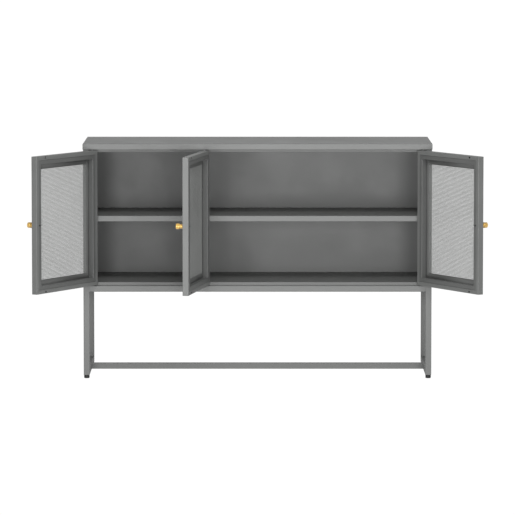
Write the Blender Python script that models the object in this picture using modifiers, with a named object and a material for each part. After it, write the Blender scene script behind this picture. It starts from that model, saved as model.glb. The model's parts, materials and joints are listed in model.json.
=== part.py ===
"""Steel sideboard: a shelf cabinet with three mesh doors, standing on an open tube base.

Cabinet frame used below: X to the right, Y = 0 at the outer face of the closed doors and growing
towards the back, Z up from the floor. One empty shifts it so that the object's box is centred in Y.
"""
import math

import bmesh
import bpy
from mathutils import Matrix, Vector

# ---- driving dimensions, in metres -------------------------------------------------------------
WIDTH = 1.050
DEPTH = 0.350
HEIGHT = 0.708
TOP_LIP = 0.018
PANEL_SHEET = 0.0012
LINER_SHEET = 0.0010
FOLD_RADIUS = 0.0016
GAP = 0.0003                     # left between pieces that touch
TOP_RETURN = 0.016               # flanges folded back around each tray's mouth
SIDE_RETURN = 0.014
TRAY_RETURN = 0.012
SMALL_CUT = 0.006                # length of the cutters that go through one sheet

BODY_HALF = 0.5238               # outer faces of the side panels and of the base
SIDE_THICK = 0.0164
BODY_BACK = 0.3465               # the side panels end here, and the back sheet covers them
BACK_SHEET = 0.0010
BACK_INSET = 0.002
LINER_FRONT = 0.022

TUBE = 0.018
TUBE_WALL = 0.0015
BASE_TOP = 0.280
FOOT_HEIGHT = 0.0095
FOOT_RADIUS = 0.0083
FOOT_PEG = 0.0037
FOOT_PEG_HOLE = 0.0040
STRETCHER_FRONT = 0.160
BOLT_RADIUS = 0.0028
BOLT_HEAD = 0.0050
BOLT_HOLE = 0.0031
BOLT_FRONT = 0.090
BOLT_BACK = 0.260

INNER_FRONT = 0.021              # header and floor start here, clear of the doors' hinge edges
FLOOR_TOP = 0.289
HEADER_BOTTOM = 0.682
HEADER_DEPTH = 0.016
PARTITION_CENTRE = -0.1695
PARTITION_THICK = 0.0164
SHELF_TOP = 0.489
SHELF_THICK = 0.0175
SHELF_FRONT = 0.030
SHELF_BACK = 0.343
SHELF_SIDE_GAP = 0.0015
PEG_PITCH = 0.032
PEG_ROWS = 5
PEG_FRONT = 0.075
PEG_BACK = 0.300
PEG_RADIUS = 0.0022
PEG_HOLE = 0.0025
BRACKET_SHEET = 0.0012
BRACKET_LEG = 0.014
BRACKET_WIDTH = 0.010
BRACKET_END = 0.015              # from a peg to the end of its bracket

DOOR_GAP = 0.0030                # between the doors, and beside them
DOOR_CLEARANCE = 0.0018          # above and below the doors
DOOR_BOTTOM = BASE_TOP + DOOR_CLEARANCE
DOOR_TOP = HEIGHT - TOP_LIP - DOOR_CLEARANCE
DOOR_THICK = 0.018
DOOR_SHEET = 0.0010
DOOR_BEND = 0.0018
FRONT_FLANGE = 0.022
RETURN_FLANGE = 0.012
FRAME_GROOVE = 0.0008            # between the return flange and the inner frame
INNER_FRAME = 0.025              # door edge to the opening of the inner frame
MESH_EDGE = 0.018                # door edge to the edge of the mesh sheet
MESH_SHEET = 0.0008
PIVOT_INSET = 0.008              # hinge pin axis, from the hinge edge of the door
PIVOT_DEPTH = 0.004              # hinge pin axis, from the outer face of the door
KNOB_INSET = 0.0155
KNOB_Z = 0.485
MAGNET_INSET = 0.047
MAGNET_RISE = 0.0045
PIN_RADIUS = 0.0019
PIN_HEAD = 0.0026
PIN_HOLE = 0.0022
SCREW_HEAD = 0.0022

OPEN_SIDE_DOORS = math.radians(120)
OPEN_MIDDLE_DOOR = math.radians(100)

# ---- sizes that follow from them ---------------------------------------------------------------
TOP_BOTTOM = HEIGHT - TOP_LIP
SIDE_INNER = BODY_HALF - SIDE_THICK
LINER_INNER = SIDE_INNER - GAP - LINER_SHEET
SIDE_BOTTOM = BASE_TOP + GAP
SIDE_TOP = TOP_BOTTOM - GAP
DOOR_WIDTH = (2 * SIDE_INNER - 4 * DOOR_GAP) / 3
DOOR_REACH = DOOR_WIDTH - PIVOT_INSET
HINGE_X = SIDE_INNER - DOOR_GAP - PIVOT_INSET
MIDDLE_HINGE_X = DOOR_WIDTH + DOOR_GAP - HINGE_X
DOOR_BACK = DOOR_THICK - PIVOT_DEPTH          # inner face of the door, from the pin axis
RAIL_HALF = BODY_HALF - TUBE - GAP
RAIL_MID_Z = BASE_TOP - TUBE / 2
SIDE_MID_X = BODY_HALF - TUBE / 2
STRETCHER_MID_Y = STRETCHER_FRONT + TUBE / 2
STRETCHER_MID_Z = FOOT_HEIGHT + TUBE / 2
BRACKET_TOP = SHELF_TOP - SHELF_THICK - GAP
PEG_Z = BRACKET_TOP - BRACKET_LEG / 2

# The farthest point forward is the inner free corner of the open middle door, a bend of DOOR_BEND.
FRONT_MOST = (PIVOT_DEPTH - (DOOR_REACH - DOOR_BEND) * math.sin(OPEN_MIDDLE_DOOR)
              + (DOOR_BACK - DOOR_BEND) * math.cos(OPEN_MIDDLE_DOOR) - DOOR_BEND)
SHIFT_Y = -(DEPTH + FRONT_MOST) / 2

PART_NAME = "sideboard_buffet"


# ---- scene, materials and small helpers ---------------------------------------------------------
def clear_scene():
    for old in list(bpy.data.objects):
        bpy.data.objects.remove(old)


def make_collection(name):
    group = bpy.data.collections.new(name)
    bpy.context.scene.collection.children.link(group)
    return group


def make_material(name, colour, metallic, roughness):
    material = bpy.data.materials.new(name)
    material.use_nodes = True
    shader = material.node_tree.nodes["Principled BSDF"]
    shader.inputs["Base Color"].default_value = (*colour, 1.0)
    shader.inputs["Metallic"].default_value = metallic
    shader.inputs["Roughness"].default_value = roughness
    return material


def make_empty(name, location, turn=0.0, parent=None):
    empty = bpy.data.objects.new(name, None)
    empty.location = location
    empty.rotation_euler = (0.0, 0.0, turn)
    empty.parent = parent
    PARTS.objects.link(empty)
    return empty


def finish_mesh(bm, name, material, parent, smooth=False, collection=None):
    """Turn a bmesh into a named object under its parent empty."""
    mesh = bpy.data.meshes.new(name)
    bm.to_mesh(mesh)
    bm.free()
    if smooth:
        mesh.shade_smooth()
        mesh.set_sharp_from_angle(angle=math.radians(35))
    piece = bpy.data.objects.new(name, mesh)
    piece.parent = parent
    if material:
        mesh.materials.append(material)
    (collection or PARTS).objects.link(piece)
    return piece


def add_box(bm, low, high):
    centre = (Vector(low) + Vector(high)) / 2
    size = Vector(high) - Vector(low)
    place = Matrix.Translation(centre) @ Matrix.Diagonal((*size, 1.0))
    bmesh.ops.create_cube(bm, size=1.0, matrix=place)


def add_turned(bm, profile, base, axis, sides):
    """Spin (radius, height) points about the line through base along axis, end points on the axis."""
    turn = Vector((0, 0, 1)).rotation_difference(Vector(axis)).to_matrix().to_4x4()
    place = Matrix.Translation(base) @ turn
    points = [bm.verts.new(place @ Vector((radius, 0.0, height))) for radius, height in profile]
    edges = [bm.edges.new(pair) for pair in zip(points, points[1:])]
    bmesh.ops.spin(bm, geom=points + edges, cent=base, axis=axis, dvec=(0, 0, 0),
                   angle=2 * math.pi, steps=sides, use_merge=True)
    bmesh.ops.remove_doubles(bm, verts=bm.verts, dist=1e-6)
    bmesh.ops.recalc_face_normals(bm, faces=bm.faces)


def pin_profile(steps):
    """Outline of a stepped pin from a list of (radius, length) steps, starting and ending on the axis."""
    height = 0.0
    profile = [(0.0, 0.0)]
    for radius, length in steps:
        profile.append((radius, height))
        height += length
        profile.append((radius, height))
    profile.append((0.0, height))
    return profile


def solidify(piece, thickness):
    modifier = piece.modifiers.new("sheet", "SOLIDIFY")
    modifier.thickness = thickness
    modifier.offset = -1.0
    modifier.use_even_offset = True


def round_folds(piece, radius, segments=2):
    modifier = piece.modifiers.new("folds", "BEVEL")
    modifier.width = radius
    modifier.segments = segments
    modifier.limit_method = "ANGLE"
    modifier.angle_limit = math.radians(60)


def boolean(piece, other, operation):
    modifier = piece.modifiers.new(operation.lower(), "BOOLEAN")
    modifier.operation = operation
    modifier.solver = "EXACT"
    modifier.object = other


def cut(piece, cutter):
    boolean(piece, cutter, "DIFFERENCE")


def join(piece, other):
    boolean(piece, other, "UNION")


def hide(cutter):
    cutter.hide_render = True
    cutter.display_type = "WIRE"
    return cutter


def hole_cutter(name, centres, axis, radius, length, parent, sides=10):
    """One hidden cutter holding a cylinder through each centre, along the axis."""
    bm = bmesh.new()
    turn = Vector((0, 0, 1)).rotation_difference(Vector(axis)).to_matrix().to_4x4()
    for centre in centres:
        bmesh.ops.create_cone(bm, cap_ends=True, segments=sides, radius1=radius, radius2=radius,
                              depth=length, matrix=Matrix.Translation(centre) @ turn)
    return hide(finish_mesh(bm, name, None, parent, collection=CUTTERS))


def hidden_box(name, low, high, parent):
    bm = bmesh.new()
    add_box(bm, low, high)
    return hide(finish_mesh(bm, name, None, parent, collection=CUTTERS))


def box_piece(name, low, high, material, parent):
    bm = bmesh.new()
    add_box(bm, low, high)
    return finish_mesh(bm, name, material, parent)


def faces_towards(bm, direction):
    bm.normal_update()
    return [face for face in bm.faces if face.normal.dot(Vector(direction)) > 0.9]


def open_face(bm, direction, lip):
    """Open a box on one side, leaving a return flange of width lip around the opening."""
    mouth = faces_towards(bm, direction)
    if lip:
        bmesh.ops.inset_region(bm, faces=mouth, thickness=lip, use_even_offset=True)
    bmesh.ops.delete(bm, geom=mouth, context="FACES")


def tray(name, low, high, mouth, lip, sheet, material, parent, radius=FOLD_RADIUS):
    """A sheet folded up on all sides, open towards mouth, with a return flange of width lip."""
    bm = bmesh.new()
    add_box(bm, low, high)
    open_face(bm, mouth, lip)
    piece = finish_mesh(bm, name, material, parent, smooth=True)
    if radius:
        round_folds(piece, radius)
    solidify(piece, sheet)
    return piece


def square_tube(name, low, high, axis, material, parent):
    """A hollow square tube along axis, open at both ends."""
    bm = bmesh.new()
    add_box(bm, low, high)
    open_face(bm, axis, 0.0)
    open_face(bm, -Vector(axis), 0.0)
    piece = finish_mesh(bm, name, material, parent, smooth=True)
    round_folds(piece, FOLD_RADIUS)
    solidify(piece, TUBE_WALL)
    return piece


def stepped_pin(name, start, axis, steps, material, parent, sides=12):
    """A turned pin of (radius, length) steps, with its origin where it starts."""
    bm = bmesh.new()
    add_turned(bm, pin_profile(steps), (0, 0, 0), axis, sides)
    pin = finish_mesh(bm, name, material, parent, smooth=True)
    pin.location = start
    return pin


# ---- cabinet -------------------------------------------------------------------------------------
def hinge_points(height):
    return [(x, PIVOT_DEPTH, height) for x in (-HINGE_X, MIDDLE_HINGE_X, HINGE_X)]


def bolt_points(height, sign):
    return [(sign * SIDE_MID_X, y, height) for y in (BOLT_FRONT, BOLT_BACK)]


def build_top(parent):
    top = tray("cabinet_top", (-WIDTH / 2, 0, TOP_BOTTOM), (WIDTH / 2, DEPTH, HEIGHT), (0, 0, -1),
               TOP_RETURN, PANEL_SHEET, STEEL, parent)
    cut(top, hole_cutter("cut_top_hinges", hinge_points(TOP_BOTTOM), (0, 0, 1), PIN_HOLE, SMALL_CUT,
                         parent))
    half = LINER_INNER - GAP
    box_piece("top_liner", (-half, INNER_FRONT + HEADER_DEPTH + GAP, SIDE_TOP - LINER_SHEET),
              (half, BODY_BACK - GAP, SIDE_TOP), STEEL, parent)
    tray("header_rail", (-half, INNER_FRONT, HEADER_BOTTOM),
         (half, INNER_FRONT + HEADER_DEPTH, SIDE_TOP), (0, 0, 1), 0.0, LINER_SHEET, STEEL, parent,
         radius=0.0012)


def build_floor(parent):
    half = LINER_INNER - GAP
    tray("cabinet_floor", (-half, INNER_FRONT, SIDE_BOTTOM + GAP), (half, BODY_BACK, FLOOR_TOP),
         (0, 0, -1), TRAY_RETURN, LINER_SHEET, STEEL, parent, radius=0.0014)


def peg_holes(x):
    """Centres of the two rows of shelf holes in an upright face at x."""
    middle = PEG_ROWS // 2
    heights = [PEG_Z + (row - middle) * PEG_PITCH for row in range(PEG_ROWS)]
    return [(x, y, z) for z in heights for y in (PEG_FRONT, PEG_BACK)]


def build_side(side, sign, parent):
    """Side panel folded open to the inside, and the plain liner with the shelf holes that closes it."""
    outer, inner = sign * BODY_HALF, sign * SIDE_INNER
    low = (min(outer, inner), 0, SIDE_BOTTOM)
    high = (max(outer, inner), BODY_BACK, SIDE_TOP)
    panel = tray("side_panel_" + side, low, high, (-sign, 0, 0), SIDE_RETURN, LINER_SHEET, STEEL,
                 parent)
    cut(panel, hole_cutter("cut_side_" + side, bolt_points(SIDE_BOTTOM, sign), (0, 0, 1), BOLT_HOLE,
                           SMALL_CUT, parent, 8))
    near = sign * (SIDE_INNER - GAP)
    far = sign * LINER_INNER
    liner = box_piece("side_liner_" + side, (min(near, far), LINER_FRONT, SIDE_BOTTOM + GAP),
                      (max(near, far), BODY_BACK - GAP, SIDE_TOP - GAP), STEEL, parent)
    cut(liner, hole_cutter("cut_liner_" + side, peg_holes(far), (1, 0, 0), PEG_HOLE, SMALL_CUT,
                           parent, 8))


def build_partition(parent):
    """Upright between the two compartments: a tray open to the left, closed by a flat cover."""
    front = INNER_FRONT + HEADER_DEPTH + GAP
    back = BODY_BACK - GAP
    low_z, high_z = FLOOR_TOP + GAP, SIDE_TOP - LINER_SHEET - GAP
    right = PARTITION_CENTRE + PARTITION_THICK / 2
    left = PARTITION_CENTRE - PARTITION_THICK / 2
    split = left + LINER_SHEET + GAP
    upright = tray("partition", (split, front, low_z), (right, back, high_z), (-1, 0, 0),
                   TRAY_RETURN, LINER_SHEET, STEEL, parent)
    cut(upright, hole_cutter("cut_partition", peg_holes(right), (1, 0, 0), PEG_HOLE, SMALL_CUT,
                             parent, 8))
    cover = box_piece("partition_cover", (left, front, low_z), (left + LINER_SHEET, back, high_z),
                      STEEL, parent)
    cut(cover, hole_cutter("cut_cover", peg_holes(left), (1, 0, 0), PEG_HOLE,
                           2 * (LINER_SHEET + GAP), parent, 8))
    return left, right


def build_bracket(name, x, sign, parent):
    """Angle that carries one end of a shelf: its upright leg is pegged to the face at x."""
    bm = bmesh.new()
    near = x + sign * GAP
    far = near + sign * BRACKET_WIDTH
    low = (min(near, far), PEG_FRONT - BRACKET_END, BRACKET_TOP - BRACKET_LEG)
    high = (max(near, far), PEG_BACK + BRACKET_END, BRACKET_TOP)
    add_box(bm, low, high)
    for direction in ((sign, 0, 0), (0, 0, -1), (0, 1, 0), (0, -1, 0)):
        open_face(bm, direction, 0.0)
    bracket = finish_mesh(bm, name, ZINC, parent)
    solidify(bracket, BRACKET_SHEET)
    centres = [(x, y, PEG_Z) for y in (PEG_FRONT, PEG_BACK)]
    length = 2 * (LINER_SHEET + GAP + BRACKET_SHEET / 2)
    join(bracket, hole_cutter("pegs_" + name, centres, (1, 0, 0), PEG_RADIUS, length, parent, 8))


def build_shelves(left, right, parent):
    """One folded shelf in each compartment, lying on a bracket at each end."""
    for side, start, end in (("left", -LINER_INNER, left), ("right", right, LINER_INNER)):
        tray("shelf_" + side, (start + SHELF_SIDE_GAP, SHELF_FRONT, SHELF_TOP - SHELF_THICK),
             (end - SHELF_SIDE_GAP, SHELF_BACK, SHELF_TOP), (0, 0, -1), TRAY_RETURN, LINER_SHEET,
             STEEL, parent)
        build_bracket(f"bracket_{side}_1", start, 1, parent)
        build_bracket(f"bracket_{side}_2", end, -1, parent)


def build_back(parent):
    front = BODY_BACK + GAP
    half = BODY_HALF - BACK_INSET
    box_piece("back_panel", (-half, front, SIDE_BOTTOM + BACK_INSET),
              (half, front + BACK_SHEET, SIDE_TOP - BACK_INSET), STEEL, parent)


# ---- base ----------------------------------------------------------------------------------------
def foot_points(height):
    """Front and rear foot on one side, as (y, z)."""
    return [(TUBE / 2, height), (DEPTH - TUBE / 2, height)]


def build_side_frame(side, sign, parent):
    """A closed loop of square tube: two legs, a top rail and a bottom rail, welded at the corners."""
    bm = bmesh.new()
    outer, inner = sign * BODY_HALF, sign * (BODY_HALF - TUBE)
    add_box(bm, (min(outer, inner), 0, FOOT_HEIGHT), (max(outer, inner), DEPTH, BASE_TOP))
    for direction in ((1, 0, 0), (-1, 0, 0)):
        open_face(bm, direction, TUBE)
    rims = [edge for edge in bm.edges if edge.is_boundary]
    bmesh.ops.bridge_loops(bm, edges=rims)
    bmesh.ops.recalc_face_normals(bm, faces=bm.faces)
    frame = finish_mesh(bm, "side_frame_" + side, STEEL, parent, smooth=True)
    round_folds(frame, FOLD_RADIUS, segments=1)
    solidify(frame, TUBE_WALL)
    middle = sign * SIDE_MID_X
    feet = [(middle, y, z) for y, z in foot_points(FOOT_HEIGHT)]
    cut(frame, hole_cutter("cut_feet_" + side, feet, (0, 0, 1), FOOT_PEG_HOLE, SMALL_CUT, parent))
    bolts = bolt_points(RAIL_MID_Z, sign)
    cut(frame, hole_cutter("cut_bolts_" + side, bolts, (0, 0, 1), BOLT_HOLE, TUBE + SMALL_CUT,
                           parent, 8))


def rail_ends():
    """Where the front rail, the rear rail and the stretcher are welded to the side frames."""
    return [(TUBE / 2, RAIL_MID_Z), (DEPTH - TUBE / 2, RAIL_MID_Z),
            (STRETCHER_MID_Y, STRETCHER_MID_Z)]


def build_rails(parent):
    rails = {}
    for name, (y, z) in zip(("front_rail", "rear_rail", "stretcher"), rail_ends()):
        low = (-RAIL_HALF, y - TUBE / 2, z - TUBE / 2)
        high = (RAIL_HALF, y + TUBE / 2, z + TUBE / 2)
        rails[name] = square_tube(name, low, high, (1, 0, 0), STEEL, parent)
    cut(rails["front_rail"], hole_cutter("cut_rail_hinges", hinge_points(BASE_TOP), (0, 0, 1),
                                         PIN_HOLE, SMALL_CUT, parent))


def build_bolts(parent):
    """Bolts up through the side frames into the bottom edges of the side panels."""
    head = 0.0030
    steps = [(BOLT_HEAD, head), (BOLT_RADIUS, 0.0265)]
    for side, sign in (("left", -1), ("right", 1)):
        start = BASE_TOP - TUBE - GAP - head
        for end, point in zip(("front", "rear"), bolt_points(start, sign)):
            stepped_pin(f"bolt_{end}_{side}", point, (0, 0, 1), steps, ZINC, parent)


def build_feet(parent):
    """A moulded glide with a peg, pressed into the underside of each leg."""
    bottom, shoulder = 0.0070, 0.0016
    top = FOOT_HEIGHT - GAP
    tip = top + 0.010
    profile = [(0, 0), (bottom, 0), (FOOT_RADIUS, shoulder), (FOOT_RADIUS, top), (FOOT_PEG, top),
               (FOOT_PEG, tip), (0, tip)]
    for side, sign in (("left", -1), ("right", 1)):
        for end, (y, z) in zip(("front", "rear"), foot_points(0.0)):
            bm = bmesh.new()
            add_turned(bm, profile, (0, 0, 0), (0, 0, 1), 20)
            foot = finish_mesh(bm, f"foot_{end}_{side}", BLACK, parent, smooth=True)
            foot.location = (sign * SIDE_MID_X, y, z)


# ---- doors ---------------------------------------------------------------------------------------
# Door frame: origin on the pin axis at floor height, +X along the closed door from the hinge edge
# (or -X where hand is -1), -Y towards the outer face, Z up.
def door_box(edge, front, back, hand):
    """Corners of the box that stays edge inside the door's four edges, between two depths."""
    near = -PIVOT_INSET + edge
    far = DOOR_REACH - edge
    left, right = sorted((hand * near, hand * far))
    return (left, front, DOOR_BOTTOM + edge), (right, back, DOOR_TOP - edge)


def build_door_frame(name, hand, parent):
    """Outer frame folded from one sheet: front flange, four edges and a return flange inside."""
    bm = bmesh.new()
    add_box(bm, *door_box(0.0, -PIVOT_DEPTH, DOOR_BACK, hand))
    open_face(bm, (0, -1, 0), FRONT_FLANGE)
    open_face(bm, (0, 1, 0), RETURN_FLANGE)
    frame = finish_mesh(bm, name + "_frame", STEEL, parent, smooth=True)
    round_folds(frame, DOOR_BEND)
    solidify(frame, DOOR_SHEET)
    pins = [(0, 0, DOOR_BOTTOM), (0, 0, DOOR_TOP)]
    cut(frame, hole_cutter("cut_pins_" + name, pins, (0, 0, 1), PIN_HOLE, SMALL_CUT, parent))
    knob = [(hand * (DOOR_REACH - KNOB_INSET), -PIVOT_DEPTH, KNOB_Z)]
    cut(frame, hole_cutter("cut_knob_" + name, knob, (0, 1, 0), PIN_HOLE, SMALL_CUT, parent))


def build_inner_frame(name, hand, parent):
    """L-shaped inner frame: a band flush with the return flange, and a wall down to the mesh sheet."""
    mesh_back = -PIVOT_DEPTH + DOOR_SHEET + GAP + MESH_SHEET
    band = door_box(RETURN_FLANGE + FRAME_GROOVE, DOOR_BACK - DOOR_SHEET, DOOR_BACK, hand)
    walls = door_box(INNER_FRAME - DOOR_SHEET, mesh_back + GAP, DOOR_BACK, hand)
    opening = door_box(INNER_FRAME, -DOOR_THICK, DOOR_THICK, hand)
    inner = box_piece(name + "_inner_frame", *band, STEEL, parent)
    join(inner, hidden_box("walls_" + name, *walls, parent))
    cut(inner, hidden_box("opening_" + name, *opening, parent))
    knob = [(hand * (DOOR_REACH - KNOB_INSET), DOOR_BACK, KNOB_Z)]
    cut(inner, hole_cutter("cut_screw_" + name, knob, (0, 1, 0), PIN_HOLE, SMALL_CUT, parent, 8))


def build_mesh_sheet(name, hand, parent):
    front = -PIVOT_DEPTH + DOOR_SHEET + GAP
    low, high = door_box(MESH_EDGE, front, front + MESH_SHEET, hand)
    box_piece(name + "_mesh", low, high, STEEL, parent)


def build_knob(name, hand, parent):
    """Turned brass knob on a neck, and the screw that holds it from inside."""
    neck, head, rise, top = 0.0065, 0.0085, 0.0105, 0.0215
    bore, depth = PIN_HOLE, 0.009
    profile = [(0, depth), (bore, depth), (bore, GAP), (neck, GAP), (neck, rise),
               (head - 0.001, rise), (head, rise + 0.001), (head, top - 0.0015),
               (head - 0.0015, top), (0, top)]
    place = (hand * (DOOR_REACH - KNOB_INSET), -PIVOT_DEPTH, KNOB_Z)
    bm = bmesh.new()
    add_turned(bm, profile, (0, 0, 0), (0, -1, 0), 24)
    knob = finish_mesh(bm, name + "_knob", BRASS, parent, smooth=True)
    knob.location = place
    seat, head_thick, spare = DOOR_BACK + GAP, 0.0014, 0.0015
    steps = [(SCREW_HEAD, head_thick), (PIN_RADIUS, seat + PIVOT_DEPTH + depth - spare)]
    stepped_pin(name + "_knob_screw", (place[0], seat + head_thick, KNOB_Z), (0, -1, 0), steps,
                ZINC, parent)


def build_pins(name, parent):
    """Hinge pins with their heads inside the door, one up into the top and one down into the rail."""
    head, into = 0.0014, 0.0055
    steps = [(PIN_HEAD, head), (PIN_RADIUS, DOOR_SHEET + GAP + DOOR_CLEARANCE + into)]
    inside = DOOR_SHEET + GAP + head
    stepped_pin(name + "_pin_top", (0, 0, DOOR_TOP - inside), (0, 0, 1), steps, ZINC, parent)
    stepped_pin(name + "_pin_bottom", (0, 0, DOOR_BOTTOM + inside), (0, 0, -1), steps, ZINC, parent)


def build_magnets(name, hand, parent):
    """Round catch magnets on the return flange, which meet the header and the floor when closed."""
    x = hand * (DOOR_REACH - MAGNET_INSET)
    steps = [(0.0031, 0.0014), (0.0026, 0.0006)]
    for level, z in (("bottom", DOOR_BOTTOM + MAGNET_RISE), ("top", DOOR_TOP - MAGNET_RISE)):
        stepped_pin(f"{name}_magnet_{level}", (x, DOOR_BACK + GAP, z), (0, 1, 0), steps, ZINC, parent)


def build_door(name, hinge_x, hand, angle, parent):
    axis = make_empty(name + "_axis", (hinge_x, PIVOT_DEPTH, 0), -hand * angle, parent)
    build_door_frame(name, hand, axis)
    build_inner_frame(name, hand, axis)
    build_mesh_sheet(name, hand, axis)
    build_knob(name, hand, axis)
    build_pins(name, axis)
    build_magnets(name, hand, axis)


# ---- assembly ------------------------------------------------------------------------------------
clear_scene()
PARTS = make_collection(PART_NAME)
CUTTERS = make_collection("cutters")
STEEL = make_material("grey_powder_coat", (0.30, 0.31, 0.30), 0.0, 0.55)
ZINC = make_material("zinc_plated_steel", (0.55, 0.56, 0.57), 1.0, 0.35)
BRASS = make_material("brass", (0.83, 0.55, 0.18), 1.0, 0.28)
BLACK = make_material("black_plastic", (0.02, 0.02, 0.02), 0.0, 0.55)

origin = make_empty("cabinet_origin", (0, SHIFT_Y, 0))
build_top(origin)
build_floor(origin)
for side_name, side_sign in (("left", -1), ("right", 1)):
    build_side(side_name, side_sign, origin)
    build_side_frame(side_name, side_sign, origin)
partition_left, partition_right = build_partition(origin)
build_shelves(partition_left, partition_right, origin)
build_back(origin)
build_rails(origin)
build_bolts(origin)
build_feet(origin)
build_door("door_left", -HINGE_X, 1, OPEN_SIDE_DOORS, origin)
build_door("door_middle", MIDDLE_HINGE_X, 1, OPEN_MIDDLE_DOOR, origin)
build_door("door_right", HINGE_X, -1, OPEN_SIDE_DOORS, origin)
bpy.context.view_layer.update()
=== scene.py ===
"""The steel sideboard as seen: studio, materials, and fine pieces in the place of CAD solids."""
import json
import math

import bmesh
import bpy
from mathutils import Matrix, Vector


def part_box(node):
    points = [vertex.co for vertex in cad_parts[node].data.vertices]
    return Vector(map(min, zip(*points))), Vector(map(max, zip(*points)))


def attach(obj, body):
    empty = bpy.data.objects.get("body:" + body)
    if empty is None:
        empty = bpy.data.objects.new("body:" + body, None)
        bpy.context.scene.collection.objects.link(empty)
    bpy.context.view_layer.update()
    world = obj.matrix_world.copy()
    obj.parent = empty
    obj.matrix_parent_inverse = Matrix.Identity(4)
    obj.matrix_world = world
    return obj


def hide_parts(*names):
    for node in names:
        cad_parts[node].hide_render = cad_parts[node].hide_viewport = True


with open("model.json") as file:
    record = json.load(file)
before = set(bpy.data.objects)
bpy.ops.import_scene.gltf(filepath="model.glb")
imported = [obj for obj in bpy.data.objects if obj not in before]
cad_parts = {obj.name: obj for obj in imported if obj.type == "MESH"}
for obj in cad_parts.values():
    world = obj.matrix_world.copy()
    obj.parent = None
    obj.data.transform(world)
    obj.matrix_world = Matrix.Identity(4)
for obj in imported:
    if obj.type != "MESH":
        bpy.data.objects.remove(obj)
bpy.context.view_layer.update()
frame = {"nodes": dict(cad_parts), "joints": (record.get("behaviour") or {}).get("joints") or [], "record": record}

# ---- places read from the frame ------------------------------------------------------------------
TOP_LOW, TOP_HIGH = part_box("cabinet_top")
FRONT_Y = TOP_LOW[1]                 # outer face of the closed doors
HEIGHT = TOP_HIGH[2]
DOORS = {"door_left": 1, "door_middle": 1, "door_right": -1}   # hinge on the left, or on the right

# ---- camera: distance from the front plane, height, focal length in mm, and downward tilt --------
CAMERA_DISTANCE = 11.95
CAMERA_HEIGHT = 1.468
CAMERA_LENS = 279.0
CAMERA_PITCH = math.radians(5.270)
SENSOR_WIDTH = 36.0                  # mm
CLIP_END = 400.0

# ---- radiance of the surround, the backdrop as the camera sees it, and the floor -----------------
SURROUND = 0.385
BACKDROP = 1.03
FLOOR_GLOW = 0.33
FLOOR_RADIUS = 160.0                 # metres

# ---- softboxes in front: distance from the doors, and the two upright ones -----------------------
KEY_DISTANCE = 2.25
KEY_SIDE = 0.675                     # from the middle of the object
KEY_HEIGHT = 0.487
KEY_SIZE = (0.375, 0.75)

# ---- edges sharper than these are shaded hard, folded, and eased on turned pieces ----------------
HARD_EDGE = math.radians(35)
FOLD_ANGLE = math.radians(60)
CORNER_ANGLE = math.radians(30)

# ---- sheet metal, in metres ----------------------------------------------------------------------
SHEET = 0.0010
TOP_SHEET = 0.0012
TUBE = 0.018
TUBE_WALL = 0.0015
FOLD_RADIUS = 0.0016
SMALL_FOLD = 0.0012
FOLD_SEGMENTS = 4
SHEET_EASE = SHEET / 4               # softens the cut edges of a flat sheet
TOP_RETURN = 0.016                   # flanges folded back round the mouth of each tray
SIDE_RETURN = 0.014
TRAY_RETURN = 0.012
FLOOR_DROP = 0.0022                  # the floor's front lip hides the seam above the front rail
GAP = 0.0003                         # the CAD leaves this between pieces that touch
PEG_HOLE = 0.0025                    # radius
PEG_PITCH = 0.032
PEG_ROWS = 5
BRACKET_END = 0.015                  # from a peg to the end of its bracket
PIN_HOLE = 0.0022                    # radius, for the hinge pins
WELD_RADIUS = 0.0008
WELD_CORNER = 1.34                   # reach at a corner of the tube, in halves of its width
WELD_STEPS = 144                     # steps round the tube, points round the bead, and ripples
WELD_POINTS = 8
WELD_RIPPLES = 36
RIPPLE_DEPTH = 0.08                  # share of the bead's radius

# ---- doors: widths measured from the edge of the door --------------------------------------------
DOOR_BEND = 0.0011                   # fold radii of the outer and the inner frame
INNER_BEND = 0.0014
FRONT_FLANGE = 0.022
RETURN_FLANGE = 0.012
INNER_BAND = 0.0128
INNER_OPENING = 0.025
MESH_MARGIN_X = 0.036                # to the first holes of the perforated sheet
MESH_MARGIN_Z = 0.038
KNOB_NECK = 0.0065                   # radius
KNOB_RISE = 0.0102                   # length of the neck
KNOB_ROUND = 0.0012                  # rounding of its rim and neck
KNOB_DOME = 0.0002                   # rise of its face from the rim to the middle

# ---- perforated sheet: staggered six-sided holes, measured across their flats --------------------
HOLE_PITCH = 0.0044
ROW_PITCH = HOLE_PITCH * math.sqrt(3) / 2
HOLE_WIDTH = 0.00268
MESH_THICKNESS = 0.0004

# ---- turned hardware: sides of each spin, eased corners, and sockets as (radius, depth, sides) ---
TURNED_SIDES = 40
KNOB_SIDES = 64
SCREW_SIDES = 32
DRILL_SIDES = 24
MERGE_DISTANCE = 1e-6
TURNED_EASE = 0.0002
FOOT_EASE = 0.0004
CORNER_SEGMENTS = 3
OUTLINE_STEP = 0.00005               # a CAD outline is read to this
KNOB_SCREW_SOCKET = (0.0012, 0.0009, 6)
BOLT_SOCKET = (0.0022, 0.0018, 6)

# ---- back-panel screws: place, (radius, height) outline, and cross recess ------------------------
SCREW_INSET = 0.030                  # top and bottom screws, from the edge of the sheet
SCREW_HEAD = 0.0015
SCREW_OUTLINE = [(0, -0.0005), (0.0030, -0.0005), (0.0030, 0.0004), (0.0026, 0.0010),
                 (0.0016, 0.0014), (0, SCREW_HEAD)]
RECESS_ARM = 0.0017                  # half its length, and half its width
RECESS_WIDTH = 0.0006
RECESS_DEPTH = 0.0009


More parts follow.
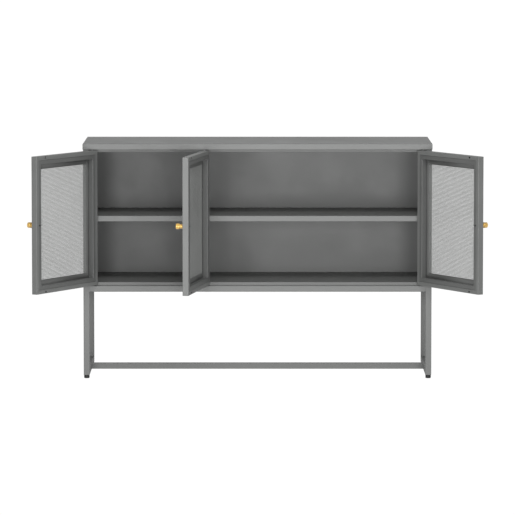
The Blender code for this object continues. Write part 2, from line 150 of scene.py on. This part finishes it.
# ---- helpers -------------------------------------------------------------------------------------
def place_piece(bm, name, material, body, replaced=(), space=Matrix()):
    """Turn a bmesh, moved by space, into a shown piece that stands for the replaced CAD nodes."""
    bm.transform(space)
    mesh = bpy.data.meshes.new(name)
    bm.to_mesh(mesh)
    bm.free()
    mesh.shade_smooth()
    mesh.set_sharp_from_angle(angle=HARD_EDGE)
    mesh.materials.append(material)
    piece = bpy.data.objects.new(name, mesh)
    bpy.context.scene.collection.objects.link(piece)
    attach(piece, body)
    if replaced:
        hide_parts(*replaced)
    return piece


def door_space(door):
    """Matrix from the closed door's own space, with its origin on the hinge axis, to the world."""
    joint = next(item for item in frame["joints"] if item["child"] == door)
    opened = math.radians(-joint["range_deg"][0])
    pivot = Vector((joint["pos_m"][0], joint["pos_m"][1], 0.0))
    return Matrix.Translation(pivot) @ Matrix.Rotation(-DOORS[door] * opened, 4, "Z")


def local_box(node, space):
    """Lowest and highest corner of a CAD node in a door's own space."""
    inverse = space.inverted()
    points = [inverse @ vertex.co for vertex in frame["nodes"][node].data.vertices]
    low = Vector([min(point[axis] for point in points) for axis in range(3)])
    high = Vector([max(point[axis] for point in points) for axis in range(3)])
    return low, high


# ---- materials -----------------------------------------------------------------------------------
def new_material(name, roughness, metallic=0.0):
    material = bpy.data.materials.new(name)
    material.use_nodes = True
    shader = material.node_tree.nodes["Principled BSDF"]
    shader.inputs["Roughness"].default_value = roughness
    shader.inputs["Metallic"].default_value = metallic
    return material, material.node_tree, shader


def add_noise(tree, scale, detail):
    """Noise in object space, in metres."""
    coordinates = tree.nodes.new("ShaderNodeTexCoord")
    noise = tree.nodes.new("ShaderNodeTexNoise")
    noise.inputs["Scale"].default_value = scale
    noise.inputs["Detail"].default_value = detail
    tree.links.new(coordinates.outputs["Object"], noise.inputs["Vector"])
    return noise.outputs["Fac"]


def add_ramp(tree, factor, low, high):
    """Colour that runs from low to high over the middle of the factor's range."""
    ramp = tree.nodes.new("ShaderNodeValToRGB")
    ramp.color_ramp.elements[0].position = 0.35
    ramp.color_ramp.elements[0].color = (*low, 1.0)
    ramp.color_ramp.elements[1].position = 0.65
    ramp.color_ramp.elements[1].color = (*high, 1.0)
    tree.links.new(factor, ramp.inputs["Fac"])
    return ramp.outputs["Color"]


def add_range(tree, factor, low, high):
    """The factor's middle half spread over low to high."""
    spread = tree.nodes.new("ShaderNodeMapRange")
    spread.inputs["From Min"].default_value = 0.25
    spread.inputs["From Max"].default_value = 0.75
    spread.inputs["To Min"].default_value = low
    spread.inputs["To Max"].default_value = high
    tree.links.new(factor, spread.inputs["Value"])
    return spread.outputs["Result"]


def add_bump(tree, shader, height, distance, strength):
    bump = tree.nodes.new("ShaderNodeBump")
    bump.inputs["Distance"].default_value = distance
    bump.inputs["Strength"].default_value = strength
    tree.links.new(height, bump.inputs["Height"])
    tree.links.new(bump.outputs["Normal"], shader.inputs["Normal"])


def tinted(colour, factor):
    return tuple(channel * factor for channel in colour)


def make_powder_coat(name, colour, grain=1400.0, relief=0.00004):
    """Fine-textured powder coat: a pebbled skin, cloudy tone and a slightly uneven sheen."""
    material, tree, shader = new_material(name, 0.5)
    cloud = add_noise(tree, 9.0, 3.0)
    fine = add_noise(tree, grain, 1.0)
    tone = add_ramp(tree, cloud, tinted(colour, 0.965), tinted(colour, 1.035))
    speck = add_ramp(tree, fine, (0.93, 0.93, 0.93), (1.05, 1.05, 1.05))
    mix = tree.nodes.new("ShaderNodeMix")
    mix.data_type = "RGBA"
    mix.blend_type = "MULTIPLY"
    mix.inputs["Factor"].default_value = 1.0
    tree.links.new(tone, mix.inputs["A"])
    tree.links.new(speck, mix.inputs["B"])
    tree.links.new(mix.outputs["Result"], shader.inputs["Base Color"])
    tree.links.new(add_range(tree, cloud, 0.44, 0.54), shader.inputs["Roughness"])
    shader.inputs["Specular IOR Level"].default_value = 1.0
    add_bump(tree, shader, fine, relief, 0.5)
    return material


def make_brass(name, colour):
    """Lacquered turned brass with a soft, uneven shine."""
    material, tree, shader = new_material(name, 0.28, 0.45)
    cloud = add_noise(tree, 160.0, 3.0)
    fine = add_noise(tree, 900.0, 2.0)
    tree.links.new(add_ramp(tree, cloud, tinted(colour, 0.94), colour), shader.inputs["Base Color"])
    tree.links.new(add_range(tree, fine, 0.17, 0.25), shader.inputs["Roughness"])
    add_bump(tree, shader, fine, 0.00001, 0.3)
    shader.inputs["Coat Weight"].default_value = 1.0
    shader.inputs["Coat Roughness"].default_value = 0.12
    shader.inputs["Coat IOR"].default_value = 1.9
    return material


def make_plate(name, low, high, roughness):
    """Metal plating, such as zinc or nickel, with its faint spangle between two tones."""
    material, tree, shader = new_material(name, roughness, 1.0)
    spangle = add_noise(tree, 700.0, 3.0)
    tree.links.new(add_ramp(tree, spangle, low, high), shader.inputs["Base Color"])
    tree.links.new(add_range(tree, spangle, roughness * 0.8, roughness * 1.2),
                   shader.inputs["Roughness"])
    add_bump(tree, shader, spangle, 0.00001, 0.3)
    return material


def make_nylon(name):
    """Moulded black nylon with a fine spark-eroded grain."""
    material, tree, shader = new_material(name, 0.5)
    grain = add_noise(tree, 2200.0, 1.0)
    tree.links.new(add_ramp(tree, grain, (0.012, 0.012, 0.012), (0.024, 0.024, 0.025)),
                   shader.inputs["Base Color"])
    tree.links.new(add_range(tree, grain, 0.45, 0.6), shader.inputs["Roughness"])
    add_bump(tree, shader, grain, 0.00003, 0.4)
    return material


STEEL_GREY = (0.164, 0.168, 0.164)
STEEL = make_powder_coat("grey_powder_coat", STEEL_GREY)
# painted shade: a darker copy of the grey coat stands in for the shade in the door recesses, on the inner frames
# and the margins of the perforated sheets
PAINTED_SHADE_STEEL = make_powder_coat("grey_powder_coat_painted_shade", tinted(STEEL_GREY, 0.7))
# painted light: a lighter copy of the grey coat makes the net of the perforated sheets read brighter
PAINTED_LIGHT_MESH_STEEL = make_powder_coat("grey_powder_coat_mesh_painted_light", tinted(STEEL_GREY, 1.6), grain=1800.0,
                              relief=0.00002)
BRASS = make_brass("satin_brass", (0.95, 0.58, 0.12))
ZINC = make_plate("zinc_plate", (0.50, 0.51, 0.52), (0.66, 0.67, 0.68), 0.35)
NICKEL = make_plate("dark_nickel_plate", (0.15, 0.15, 0.15), (0.21, 0.21, 0.21), 0.18)
NYLON = make_nylon("black_nylon")
# the mesh slot takes the lighter copy of the coat, which is painted light
BY_SLOT = {"painted_steel": STEEL, "mesh_steel": PAINTED_LIGHT_MESH_STEEL, "brass": BRASS, "zinc_steel": ZINC,
           "foot_plastic": NYLON}


def paint_frame():
    """Give every carried-over CAD node the material of its slot."""
    for part in frame["record"]["subparts"]:
        node = frame["nodes"][part["node"]]
        node.data.materials.clear()
        node.data.materials.append(BY_SLOT[part["material_slot"]])


# ---- sheet metal ---------------------------------------------------------------------------------
def add_box(bm, low, high):
    size = high - low
    place = Matrix.Translation((low + high) / 2) @ Matrix.Diagonal((*size, 1.0))
    bmesh.ops.create_cube(bm, size=1.0, matrix=place)


def open_towards(bm, direction, lip):
    """Open a box on one side, leaving a return flange of width lip around the opening."""
    bm.normal_update()
    mouth = [face for face in bm.faces if face.normal.dot(Vector(direction)) > 0.9]
    if lip:
        bmesh.ops.inset_region(bm, faces=mouth, thickness=lip, use_even_offset=True)
    bmesh.ops.delete(bm, geom=mouth, context="FACES")


def add_eased_sheet(bm, low, high):
    """A flat sheet with softened cut edges."""
    add_box(bm, low, high)
    bmesh.ops.bevel(bm, geom=bm.edges[:], offset=SHEET_EASE, segments=2, affect="EDGES")


def round_folds(piece, radius):
    folds = piece.modifiers.new("folds", "BEVEL")
    folds.width = radius
    folds.segments = FOLD_SEGMENTS
    folds.limit_method = "ANGLE"
    folds.angle_limit = FOLD_ANGLE


def thicken(piece, thickness, offset=-1.0):
    sheet = piece.modifiers.new("sheet", "SOLIDIFY")
    sheet.thickness = thickness
    sheet.offset = offset
    sheet.use_even_offset = True


def keep_flats(piece):
    """Shade large flats as flat, so that only the folds between them catch the light."""
    normals = piece.modifiers.new("normals", "WEIGHTED_NORMAL")
    normals.weight = 100
    normals.keep_sharp = True


def carve(piece, bm, space=Matrix()):
    """Cut the shape in bm out of a piece, and apply the piece's modifiers."""
    bm.transform(space)
    mesh = bpy.data.meshes.new("cutter")
    bm.to_mesh(mesh)
    bm.free()
    cutter = bpy.data.objects.new("cutter", mesh)
    bpy.context.scene.collection.objects.link(cutter)
    cut = piece.modifiers.new("cut", "BOOLEAN")
    cut.solver = "EXACT"
    cut.use_self = True
    cut.object = cutter
    depsgraph = bpy.context.evaluated_depsgraph_get()
    shaped = bpy.data.meshes.new_from_object(piece.evaluated_get(depsgraph))
    piece.modifiers.clear()
    piece.data = shaped
    bpy.data.objects.remove(cutter)


def drill(piece, centres, axis, radius, length, space=Matrix(), sides=DRILL_SIDES):
    """Cut a hole of this length through each centre, along the axis."""
    bm = bmesh.new()
    turn = Vector((0, 0, 1)).rotation_difference(Vector(axis)).to_matrix().to_4x4()
    for centre in centres:
        bmesh.ops.create_cone(bm, cap_ends=True, segments=sides, radius1=radius, radius2=radius,
                              depth=length, matrix=Matrix.Translation(centre) @ turn)
    carve(piece, bm, space)


def build_tray(node, mouth, lip, sheet=SHEET, radius=FOLD_RADIUS, holes=(), hole_radius=PEG_HOLE,
               drop=0.0):
    """A folded tray for a CAD tray, open towards mouth, with its front lip lowered by drop."""
    low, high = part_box(node)
    bm = bmesh.new()
    add_box(bm, low, high)
    open_towards(bm, mouth, lip)
    for vertex in bm.verts:
        if vertex.co.y < low.y + GAP and vertex.co.z < low.z + GAP:
            vertex.co.z -= drop
    piece = place_piece(bm, node + "_folded", STEEL, "root", (node,))
    round_folds(piece, radius)
    thicken(piece, sheet)
    if holes:
        drill(piece, holes, mouth, hole_radius, 4 * sheet)
    keep_flats(piece)


def build_sheet(node, holes=(), rise=0.0):
    """A flat sheet for a CAD sheet, with its top raised by rise."""
    low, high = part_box(node)
    high.z += rise
    bm = bmesh.new()
    add_eased_sheet(bm, low, high)
    piece = place_piece(bm, node + "_sheet", STEEL, "root", (node,))
    if holes:
        drill(piece, holes, (1, 0, 0), PEG_HOLE, 4 * SHEET)
    keep_flats(piece)


def peg_centres(x):
    """The shelf holes in an upright at x: two columns, centred on the row that the brackets use."""
    low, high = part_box("bracket_left_1")
    used = (low.z + high.z) / 2
    rows = range(-(PEG_ROWS // 2), PEG_ROWS // 2 + 1)
    columns = (low.y + BRACKET_END, high.y - BRACKET_END)
    return [(x, y, used + row * PEG_PITCH) for row in rows for y in columns]


def pin_centres(height):
    return [(joint["pos_m"][0], joint["pos_m"][1], height) for joint in frame["joints"]]


def build_carcass():
    build_tray("cabinet_top", (0, 0, -1), TOP_RETURN, sheet=TOP_SHEET,
               holes=pin_centres(TOP_LOW.z), hole_radius=PIN_HOLE)
    build_sheet("top_liner")
    build_tray("header_rail", (0, 0, 1), 0.0, radius=SMALL_FOLD)
    build_tray("cabinet_floor", (0, 0, -1), TRAY_RETURN, radius=SMALL_FOLD, drop=FLOOR_DROP)
    for side, inward in (("left", 1), ("right", -1)):
        build_tray("side_panel_" + side, (inward, 0, 0), SIDE_RETURN)
        build_tray("shelf_" + side, (0, 0, -1), TRAY_RETURN)
        liner = "side_liner_" + side
        build_sheet(liner, peg_centres(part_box(liner)[0].x))
    build_tray("partition", (-1, 0, 0), TRAY_RETURN, holes=peg_centres(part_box("partition")[1].x))
    build_sheet("partition_cover", peg_centres(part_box("partition_cover")[0].x))


# ---- base ----------------------------------------------------------------------------------------
def build_side_frame(node):
    """Two legs, a top rail and a bottom rail of square tube, welded into a closed loop."""
    bm = bmesh.new()
    add_box(bm, *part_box(node))
    for direction in ((1, 0, 0), (-1, 0, 0)):
        open_towards(bm, direction, TUBE)
    bmesh.ops.bridge_loops(bm, edges=[edge for edge in bm.edges if edge.is_boundary])
    bmesh.ops.recalc_face_normals(bm, faces=bm.faces)
    piece = place_piece(bm, node + "_tube", STEEL, "root", (node,))
    round_folds(piece, FOLD_RADIUS)
    keep_flats(piece)


def build_rail(node, holes=()):
    """A square tube between the side frames, open at both ends."""
    bm = bmesh.new()
    add_box(bm, *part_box(node))
    for direction in ((1, 0, 0), (-1, 0, 0)):
        open_towards(bm, direction, 0.0)
    piece = place_piece(bm, node + "_tube", STEEL, "root", (node,))
    round_folds(piece, FOLD_RADIUS)
    thicken(piece, TUBE_WALL)
    if holes:
        drill(piece, holes, (0, 0, 1), PIN_HOLE, 4 * TUBE_WALL)
    keep_flats(piece)


def build_weld(name, x, low, high):
    """The painted, rippled weld round the end of a rail, ground flush with the side frame."""
    frame_low, frame_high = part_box("side_frame_left")
    centre = Vector((x, (low.y + high.y) / 2, (low.z + high.z) / 2))
    half = (high.y - low.y) / 2
    bm = bmesh.new()
    rings = []
    for step in range(WELD_STEPS):
        turn = 2 * math.pi * step / WELD_STEPS
        outward = Vector((0, math.cos(turn), math.sin(turn)))
        reach = min(half / max(abs(outward.y), abs(outward.z)), half * WELD_CORNER)
        size = WELD_RADIUS * (1 - RIPPLE_DEPTH + RIPPLE_DEPTH * math.sin(WELD_RIPPLES * turn))
        angles = [2 * math.pi * point / WELD_POINTS for point in range(WELD_POINTS)]
        rings.append([bm.verts.new(centre + (reach + size * math.cos(angle)) * outward
                                   + Vector((size * math.sin(angle), 0, 0))) for angle in angles])
    for first, second in zip(rings, rings[1:] + rings[:1]):
        for point in range(WELD_POINTS):
            after = (point + 1) % WELD_POINTS
            bm.faces.new((first[point], first[after], second[after], second[point]))
    for vertex in bm.verts:
        vertex.co.y = min(max(vertex.co.y, frame_low.y), frame_high.y)
        vertex.co.z = min(max(vertex.co.z, frame_low.z), frame_high.z)
    bmesh.ops.recalc_face_normals(bm, faces=bm.faces)
    place_piece(bm, name, STEEL, "root")


def build_seam_strip():
    """Flat strip behind the front rail that closes the slot up to the lip of the cabinet floor."""
    low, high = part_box("front_rail")
    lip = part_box("cabinet_floor")[0].y
    low.y, high.y = high.y - GAP, lip - GAP / 3
    low.z, high.z = high.z - FLOOR_DROP + GAP, high.z - FLOOR_DROP + GAP + SHEET
    bm = bmesh.new()
    add_eased_sheet(bm, low, high)
    strip = place_piece(bm, "front_rail_seam_strip", STEEL, "root")
    keep_flats(strip)


def build_base():
    for side in ("left", "right"):
        build_side_frame("side_frame_" + side)
    for name in ("front_rail", "rear_rail", "stretcher"):
        low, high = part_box(name)
        build_rail(name, pin_centres(high.z) if name == "front_rail" else ())
        build_weld(name + "_weld_left", low.x - GAP, low, high)
        build_weld(name + "_weld_right", high.x + GAP, low, high)
    build_seam_strip()


# ---- turned hardware -----------------------------------------------------------------------------
def lathe(bm, profile, origin, axis, sides):
    """Spin (radius, height) points about the axis through origin; both ends lie on the axis."""
    turn = Vector((0, 0, 1)).rotation_difference(Vector(axis)).to_matrix().to_4x4()
    place = Matrix.Translation(origin) @ turn
    points = [bm.verts.new(place @ Vector((radius, 0.0, height))) for radius, height in profile]
    edges = [bm.edges.new(pair) for pair in zip(points, points[1:])]
    bmesh.ops.spin(bm, geom=points + edges, cent=origin, axis=axis, dvec=(0, 0, 0),
                   angle=2 * math.pi, steps=sides, use_merge=True)
    bmesh.ops.remove_doubles(bm, verts=bm.verts, dist=MERGE_DISTANCE)
    bmesh.ops.recalc_face_normals(bm, faces=bm.faces)


def ease_corners(piece, radius):
    corners = piece.modifiers.new("corners", "BEVEL")
    corners.width = radius
    corners.segments = CORNER_SEGMENTS
    corners.limit_method = "ANGLE"
    corners.angle_limit = CORNER_ANGLE


def turned_profile(node, space, axis):
    """Base point and (radius, height) outline of a stepped CAD node about its own centre line."""
    low, high = local_box(node, space)
    along = max(range(3), key=lambda index: abs(axis[index]))
    sign = 1 if axis[along] > 0 else -1
    origin = (low + high) / 2
    origin[along] = low[along] if sign > 0 else high[along]
    inverse = space.inverted()
    levels = {}
    for vertex in frame["nodes"][node].data.vertices:
        offset = inverse @ vertex.co - origin
        height = sign * offset[along]
        offset[along] = 0.0
        radius = round(offset.length / OUTLINE_STEP)
        levels.setdefault(round(height / OUTLINE_STEP), set()).add(radius)
    profile = [(0, 0)]
    for height in sorted(levels):
        last = profile[-1][0]
        nearest_first = sorted(levels[height], key=lambda radius: abs(radius - last))
        profile += [(radius, height) for radius in nearest_first if (radius, height) != profile[-1]]
    if profile[-1][0]:
        profile.append((0, profile[-1][1]))
    return origin, [(radius * OUTLINE_STEP, height * OUTLINE_STEP) for radius, height in profile]


def build_turned(node, axis, material, body="root", space=Matrix(), ease=TURNED_EASE,
                 socket=None):
    """A finely turned piece for a stepped CAD one, with a socket in its far end if one is given."""
    origin, profile = turned_profile(node, space, axis)
    bm = bmesh.new()
    lathe(bm, profile, origin, axis, TURNED_SIDES)
    piece = place_piece(bm, node + "_turned", material, body, (node,), space)
    ease_corners(piece, ease)
    if socket:
        radius, depth, sides = socket
        end = origin + Vector(axis) * profile[-1][1]
        drill(piece, [end], axis, radius, 2 * depth, space, sides)
    keep_flats(piece)


def build_knob(door, space):
    """Turned brass knob: a neck, and a barrel head with a softly rounded rim and a faint dome."""
    low, high = local_box(door + "_knob", space)
    origin = Vector(((low.x + high.x) / 2, high.y, (low.z + high.z) / 2))
    head, tip = (high.z - low.z) / 2, high.y - low.y
    profile = [(0, 0), (KNOB_NECK, 0), (KNOB_NECK, KNOB_RISE), (head, KNOB_RISE),
               (head, tip - KNOB_DOME), (head / 2, tip - KNOB_DOME / 4), (0, tip)]
    bm = bmesh.new()
    lathe(bm, profile, origin, (0, -1, 0), KNOB_SIDES)
    knob = place_piece(bm, door + "_knob_turned", BRASS, door, (door + "_knob",), space)
    ease_corners(knob, KNOB_ROUND)
    keep_flats(knob)


def build_hardware():
    for door in DOORS:
        space = door_space(door)
        build_knob(door, space)
        build_turned(door + "_knob_screw", (0, -1, 0), NICKEL, door, space,
                     socket=KNOB_SCREW_SOCKET)
        for end, up in (("top", 1), ("bottom", -1)):
            build_turned(f"{door}_pin_{end}", (0, 0, up), ZINC, door, space)
            build_turned(f"{door}_magnet_{end}", (0, 1, 0), NICKEL, door, space)
    for side in ("left", "right"):
        for end in ("front", "rear"):
            build_turned(f"bolt_{end}_{side}", (0, 0, 1), ZINC,
                         socket=BOLT_SOCKET)
            build_turned(f"foot_{end}_{side}", (0, 0, 1), NYLON, ease=FOOT_EASE)


# ---- doors ---------------------------------------------------------------------------------------
def inside_edge(low, high, edge):
    """The door's outline in X and Z, brought in from every side by edge, anticlockwise."""
    left, right = low.x + edge, high.x - edge
    bottom, top = low.z + edge, high.z - edge
    return [(left, bottom), (right, bottom), (right, top), (left, top)]


def build_door_frame(door, space):
    """Outer frame folded from one sheet: front flange, four edges and a return flange inside."""
    low, high = local_box(door + "_frame", space)
    bm = bmesh.new()
    add_box(bm, low, high)
    open_towards(bm, (0, -1, 0), FRONT_FLANGE)
    open_towards(bm, (0, 1, 0), RETURN_FLANGE)
    node = door + "_frame"
    piece = place_piece(bm, node + "_folded", STEEL, door, (node,), space)
    round_folds(piece, DOOR_BEND)
    thicken(piece, SHEET)
    drill(piece, [(0, 0, low.z), (0, 0, high.z)], (0, 0, 1), PIN_HOLE, 4 * SHEET, space)
    keep_flats(piece)


def build_inner_frame(door, space):
    """L-shaped inner frame: a band flush with the return flange, and a wall to the mesh sheet."""
    low, high = local_box(door + "_frame", space)
    inner_low, inner_high = local_box(door + "_inner_frame", space)
    bm = bmesh.new()
    loops = []
    for edge, y in ((INNER_BAND, inner_high.y), (INNER_OPENING, inner_high.y),
                    (INNER_OPENING, inner_low.y)):
        loops.append([bm.verts.new((x, y, z)) for x, z in inside_edge(low, high, edge)])
    for outer, inner in zip(loops, loops[1:]):
        for corner in range(4):
            after = (corner + 1) % 4
            bm.faces.new((outer[corner], inner[corner], inner[after], outer[after]))
    bm.normal_update()
    if bm.faces[:][0].normal.y < 0:
        bmesh.ops.reverse_faces(bm, faces=bm.faces[:])
    node = door + "_inner_frame"
    # painted shade: the inner frame takes the darker copy of the coat
    piece = place_piece(bm, node + "_folded", PAINTED_SHADE_STEEL, door, (node,), space)
    round_folds(piece, INNER_BEND)
    thicken(piece, SHEET)
    keep_flats(piece)


# ---- perforated sheets ---------------------------------------------------------------------------
def punch_holes(bm, centre, rows, columns):
    """A net of six-sided holes: bridges between neighbours and faces in the gaps. Gives its rim."""
    radius = HOLE_WIDTH / math.sqrt(3)
    corners = [math.radians(30 + 60 * corner) for corner in range(6)]
    holes = {}
    for row in range(rows):
        for column in range(columns - row % 2):
            x = centre.x + (column + row % 2 / 2 - (columns - 1) / 2) * HOLE_PITCH
            z = centre.z + (row - (rows - 1) / 2) * ROW_PITCH
            holes[row, column] = [bm.verts.new((x + radius * math.cos(angle), centre.y,
                                                z + radius * math.sin(angle))) for angle in corners]
    for (row, column), hole in holes.items():
        right = holes.get((row, column + 1))
        upper_right = holes.get((row + 1, column + row % 2))
        upper_left = holes.get((row + 1, column + row % 2 - 1))
        if right:
            bm.faces.new((hole[5], right[3], right[2], hole[0]))
        if upper_right:
            bm.faces.new((hole[0], upper_right[4], upper_right[3], hole[1]))
        if upper_left:
            bm.faces.new((hole[1], upper_left[5], upper_left[4], hole[2]))
        if right and upper_right:
            bm.faces.new((hole[0], right[2], upper_right[4]))
        if upper_left and upper_right:
            bm.faces.new((hole[1], upper_right[3], upper_left[5]))
    sides = set()
    for hole in holes.values():
        for pair in zip(hole, hole[1:] + hole[:1]):
            sides.add(bm.edges.get(pair) or bm.edges.new(pair))
    return [edge for edge in bm.edges
            if not edge.link_faces or (edge.is_boundary and edge not in sides)]


def build_mesh_sheet(door, space):
    """One flat sheet whose field of holes stops short of the edges, given its thickness."""
    node = door + "_mesh"
    low, high = local_box(node, space)
    outer_low, outer_high = local_box(door + "_frame", space)
    centre = (low + high) / 2
    columns = int((outer_high.x - outer_low.x - 2 * MESH_MARGIN_X) / HOLE_PITCH)
    rows = int((outer_high.z - outer_low.z - 2 * MESH_MARGIN_Z) / ROW_PITCH)
    bm = bmesh.new()
    outline = punch_holes(bm, centre, rows, columns)
    # painted light: the net's webs take the lighter copy of the coat (material index 1)
    for web in bm.faces:
        web.material_index = 1
    corners = [bm.verts.new((x, centre.y, z)) for x, z in inside_edge(low, high, 0.0)]
    outline += [bm.edges.new(pair) for pair in zip(corners, corners[1:] + corners[:1])]
    bmesh.ops.triangle_fill(bm, use_beauty=True, edges=outline, normal=(0, 1, 0))
    bmesh.ops.recalc_face_normals(bm, faces=bm.faces)
    name = door + "_perforated_sheet"
    # painted shade: the sheet's solid margins take the darker copy of the coat
    piece = place_piece(bm, name, PAINTED_SHADE_STEEL, door, (node,), space)
    piece.data.materials.append(PAINTED_LIGHT_MESH_STEEL)
    thicken(piece, MESH_THICKNESS, offset=0.0)


def build_doors():
    for door in DOORS:
        space = door_space(door)
        build_door_frame(door, space)
        build_inner_frame(door, space)
        build_mesh_sheet(door, space)


# ---- back ----------------------------------------------------------------------------------------
def screw_centres():
    """Back-panel screws: three down each side panel and three down the partition."""
    low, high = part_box("back_panel")
    partition_low, partition_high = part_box("partition")
    side_low, side_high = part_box("side_panel_left")
    columns = [(side_low.x + side_high.x) / 2, (partition_low.x + partition_high.x) / 2,
               -(side_low.x + side_high.x) / 2]
    rows = [low.z + SCREW_INSET, (low.z + high.z) / 2, high.z - SCREW_INSET]
    return [(x, high.y, z) for x in columns for z in rows]


def build_back():
    """The back sheet, up to the lip of the top, and its pan-head screws with cross recesses."""
    build_sheet("back_panel", rise=TOP_LOW.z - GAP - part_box("back_panel")[1].z)
    for number, centre in enumerate(screw_centres(), start=1):
        bm = bmesh.new()
        lathe(bm, SCREW_OUTLINE, centre, (0, 1, 0), SCREW_SIDES)
        screw = place_piece(bm, f"back_screw_{number}", ZINC, "root")
        cross_recess(screw, centre)


def cross_recess(screw, centre):
    """Cut a cross recess into a screw head that faces +Y."""
    top = centre[1] + SCREW_HEAD
    bm = bmesh.new()
    for size in ((RECESS_ARM, RECESS_WIDTH), (RECESS_WIDTH, RECESS_ARM)):
        low = Vector((centre[0] - size[0], top - RECESS_DEPTH, centre[2] - size[1]))
        high = Vector((centre[0] + size[0], top + RECESS_DEPTH, centre[2] + size[1]))
        add_box(bm, low, high)
    carve(screw, bm)


# ---- studio --------------------------------------------------------------------------------------
def build_floor():
    """Pale matt floor, out to the horizon of a low view, and as bright there as the backdrop."""
    bm = bmesh.new()
    bmesh.ops.create_circle(bm, cap_ends=True, segments=64, radius=FLOOR_RADIUS)
    mesh = bpy.data.meshes.new("studio_floor")
    bm.to_mesh(mesh)
    bm.free()
    floor = bpy.data.objects.new("studio_floor", mesh)
    material, tree, shader = new_material("pale_floor", 0.9)
    shader.inputs["Specular IOR Level"].default_value = 0.0
    shade = add_noise(tree, 0.4, 2.0)
    tree.links.new(add_ramp(tree, shade, (0.40, 0.40, 0.40), (0.42, 0.42, 0.42)),
                   shader.inputs["Base Color"])
    shader.inputs["Emission Color"].default_value = (1.0, 1.0, 1.0, 1.0)
    shader.inputs["Emission Strength"].default_value = FLOOR_GLOW
    seen = tree.nodes.new("ShaderNodeEmission")
    seen.inputs["Strength"].default_value = BACKDROP
    rays = tree.nodes.new("ShaderNodeLightPath")
    mix = tree.nodes.new("ShaderNodeMixShader")
    tree.links.new(rays.outputs["Is Camera Ray"], mix.inputs["Fac"])
    tree.links.new(shader.outputs["BSDF"], mix.inputs[1])
    tree.links.new(seen.outputs["Emission"], mix.inputs[2])
    tree.links.new(mix.outputs["Shader"], tree.nodes["Material Output"].inputs["Surface"])
    mesh.materials.append(material)
    bpy.context.scene.collection.objects.link(floor)


def add_softbox(name, location, target, size, power):
    light = bpy.data.lights.new(name, "AREA")
    light.shape = "RECTANGLE"
    light.size, light.size_y = size
    light.energy = power
    lamp = bpy.data.objects.new(name, light)
    lamp.location = location
    aim = Vector(target) - Vector(location)
    lamp.rotation_euler = aim.to_track_quat("-Z", "Y").to_euler()
    bpy.context.scene.collection.objects.link(lamp)


def build_lights():
    """Even surround, three softboxes in front of the doors, one high in front and one behind."""
    world = bpy.data.worlds.new("studio_world")
    world.use_nodes = True
    tree = world.node_tree
    background = tree.nodes["Background"]
    rays = tree.nodes.new("ShaderNodeLightPath")
    strength = tree.nodes.new("ShaderNodeMapRange")
    strength.inputs["To Min"].default_value = SURROUND
    strength.inputs["To Max"].default_value = BACKDROP
    tree.links.new(rays.outputs["Is Camera Ray"], strength.inputs["Value"])
    tree.links.new(strength.outputs["Result"], background.inputs["Strength"])
    background.inputs["Color"].default_value = (1.0, 1.0, 1.0, 1.0)
    bpy.context.scene.world = world
    middle = (0.0, FRONT_Y, 0.45)
    key_y = FRONT_Y - KEY_DISTANCE
    add_softbox("key_left", (-KEY_SIDE, key_y, KEY_HEIGHT), middle, KEY_SIZE, 10.0)
    add_softbox("key_right", (KEY_SIDE, key_y, KEY_HEIGHT), middle, KEY_SIZE, 9.3)
    add_softbox("key_centre", (0.0, key_y, 0.60), middle, (0.30, 0.16), 4.4)
    add_softbox("top_front", (0.0, FRONT_Y - 1.5, 2.2), middle, (1.2, 0.6), 18.9)
    add_softbox("rim_back", (0.0, 3.5, 1.5), (0.0, 0.0, HEIGHT), (3.0, 1.2), 6.2)


def build_camera():
    camera = bpy.data.cameras.new("camera")
    camera.lens = CAMERA_LENS
    camera.sensor_width = SENSOR_WIDTH
    camera.clip_end = CLIP_END
    holder = bpy.data.objects.new("camera", camera)
    holder.location = (0.0, FRONT_Y - CAMERA_DISTANCE, CAMERA_HEIGHT)
    holder.rotation_euler = (math.pi / 2 - CAMERA_PITCH, 0.0, 0.0)
    bpy.context.scene.collection.objects.link(holder)
    bpy.context.scene.camera = holder
    bpy.context.scene.view_settings.view_transform = "Standard"


# ---- run -----------------------------------------------------------------------------------------
build_camera()
build_lights()
build_floor()
paint_frame()
build_carcass()
build_back()
build_base()
build_doors()
build_hardware()
